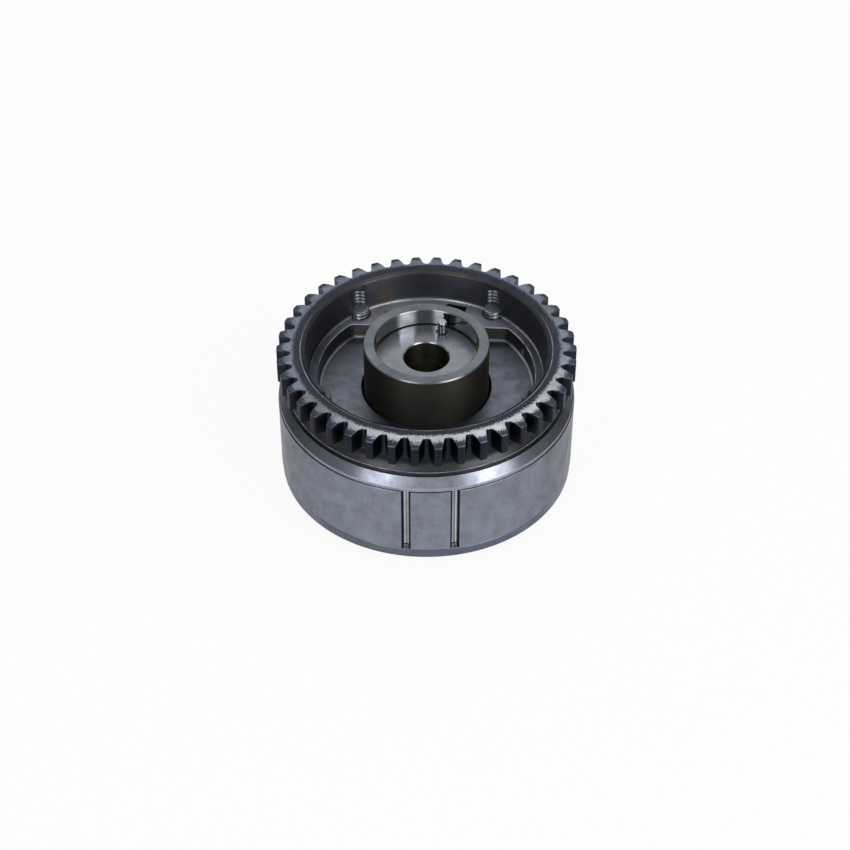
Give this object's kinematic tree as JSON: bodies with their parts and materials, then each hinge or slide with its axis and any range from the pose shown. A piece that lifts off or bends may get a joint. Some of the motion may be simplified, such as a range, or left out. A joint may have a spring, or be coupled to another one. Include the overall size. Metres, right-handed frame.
{
  "type": "cam phaser",
  "caption": "Hydraulic cam phaser: a toothed chain sprocket on a round housing whose vaned rotor turns the camshaft ahead or back against it.",
  "frame": {"origin": "on the turning axis, in the plane that the five bolt heads stand on", "axes": "+Z along the turning axis towards the camshaft; -Y through a tooth gap, between the two timing grooves"},
  "size_m": [0.1078, 0.1078, 0.0582],
  "materials": {
    "oxidised_sintered_steel": "sintered, steam oxidised, dark blue-black",
    "satin_sintered_steel": "sintered, satin blue-grey",
    "ground_steel": "ground",
    "machined_sintered_steel": "sintered, turned bright at the nose",
    "hardened_steel": "hardened and ground",
    "spring_steel": "drawn wire",
    "bolt_steel": "black oxide, oiled",
    "seal_plastic": "moulded, carbon filled"
  },
  "bodies": {
    "housing": {"sprocket_plate": "oxidised_sintered_steel", "stator_housing": "satin_sintered_steel", "front_cover": "ground_steel", "cover_bolt_1": "bolt_steel", "cover_bolt_2": "bolt_steel", "cover_bolt_3": "bolt_steel", "cover_bolt_4": "bolt_steel", "cover_bolt_5": "bolt_steel", "lobe_seal_spring_1": "spring_steel", "lobe_seal_spring_2": "spring_steel", "lobe_seal_spring_3": "spring_steel", "lobe_seal_spring_4": "spring_steel", "lobe_seal_spring_5": "spring_steel", "lock_bush": "hardened_steel", "locating_dowel": "hardened_steel"},
    "vane_rotor": {"rotor": "machined_sintered_steel", "cam_dowel": "hardened_steel", "lock_spring": "spring_steel", "lock_spring_seat": "machined_sintered_steel", "vane_seal_spring_1": "spring_steel", "vane_seal_spring_2": "spring_steel", "vane_seal_spring_3": "spring_steel", "vane_seal_spring_4": "spring_steel", "vane_seal_spring_5": "spring_steel"},
    "pin": {"lock_pin": "hardened_steel"},
    "vane_blade_1": {"vane_seal_1": "seal_plastic"},
    "vane_blade_2": {"vane_seal_2": "seal_plastic"},
    "vane_blade_3": {"vane_seal_3": "seal_plastic"},
    "vane_blade_4": {"vane_seal_4": "seal_plastic"},
    "vane_blade_5": {"vane_seal_5": "seal_plastic"},
    "lobe_blade_1": {"lobe_seal_1": "seal_plastic"},
    "lobe_blade_2": {"lobe_seal_2": "seal_plastic"},
    "lobe_blade_3": {"lobe_seal_3": "seal_plastic"},
    "lobe_blade_4": {"lobe_seal_4": "seal_plastic"},
    "lobe_blade_5": {"lobe_seal_5": "seal_plastic"}
  },
  "joints": [
    {"name": "rotor_turn", "type": "hinge", "parent": "housing", "child": "vane_rotor", "pos_m": [0, 0, 0.0352], "axis": [0, 0, 1], "range_deg": [0, 24.5]},
    {"name": "lock_pin_slide", "type": "slide", "parent": "vane_rotor", "child": "pin", "axis": [0, 0, -1], "range_m": [-0.0032, 0], "deforming": ["lock_spring"]},
    {"name": "vane_seal_1_slide", "type": "slide", "parent": "vane_rotor", "child": "vane_blade_1", "axis": [-0.2121, -0.9772, 0], "range_m": [0, 0.0003], "stiffness_N_per_m": 500, "springref_m": -0.0008, "deforming": ["vane_seal_spring_1"]},
    {"name": "vane_seal_2_slide", "type": "slide", "parent": "vane_rotor", "child": "vane_blade_2", "axis": [0.8639, -0.5037, 0], "range_m": [0, 0.0003], "stiffness_N_per_m": 500, "springref_m": -0.0008, "deforming": ["vane_seal_spring_2"]},
    {"name": "vane_seal_3_slide", "type": "slide", "parent": "vane_rotor", "child": "vane_blade_3", "axis": [0.746, 0.6659, 0], "range_m": [0, 0.0003], "stiffness_N_per_m": 500, "springref_m": -0.0008, "deforming": ["vane_seal_spring_3"]},
    {"name": "vane_seal_4_slide", "type": "slide", "parent": "vane_rotor", "child": "vane_blade_4", "axis": [-0.4028, 0.9153, 0], "range_m": [0, 0.0003], "stiffness_N_per_m": 500, "springref_m": -0.0008, "deforming": ["vane_seal_spring_4"]},
    {"name": "vane_seal_5_slide", "type": "slide", "parent": "vane_rotor", "child": "vane_blade_5", "axis": [-0.995, -0.1003, 0], "range_m": [0, 0.0003], "stiffness_N_per_m": 500, "springref_m": -0.0008, "deforming": ["vane_seal_spring_5"]},
    {"name": "lobe_seal_1_slide", "type": "slide", "parent": "housing", "child": "lobe_blade_1", "axis": [0.5878, 0.809, 0], "range_m": [0, 0.0003], "stiffness_N_per_m": 500, "springref_m": -0.0008, "deforming": ["lobe_seal_spring_1"]},
    {"name": "lobe_seal_2_slide", "type": "slide", "parent": "housing", "child": "lobe_blade_2", "axis": [-0.5878, 0.809, 0], "range_m": [0, 0.0003], "stiffness_N_per_m": 500, "springref_m": -0.0008, "deforming": ["lobe_seal_spring_2"]},
    {"name": "lobe_seal_3_slide", "type": "slide", "parent": "housing", "child": "lobe_blade_3", "axis": [-0.9511, -0.309, 0], "range_m": [0, 0.0003], "stiffness_N_per_m": 500, "springref_m": -0.0008, "deforming": ["lobe_seal_spring_3"]},
    {"name": "lobe_seal_4_slide", "type": "slide", "parent": "housing", "child": "lobe_blade_4", "axis": [0, -1, 0], "range_m": [0, 0.0003], "stiffness_N_per_m": 500, "springref_m": -0.0008, "deforming": ["lobe_seal_spring_4"]},
    {"name": "lobe_seal_5_slide", "type": "slide", "parent": "housing", "child": "lobe_blade_5", "axis": [0.9511, -0.309, 0], "range_m": [0, 0.0003], "stiffness_N_per_m": 500, "springref_m": -0.0008, "deforming": ["lobe_seal_spring_5"]}
  ]
}
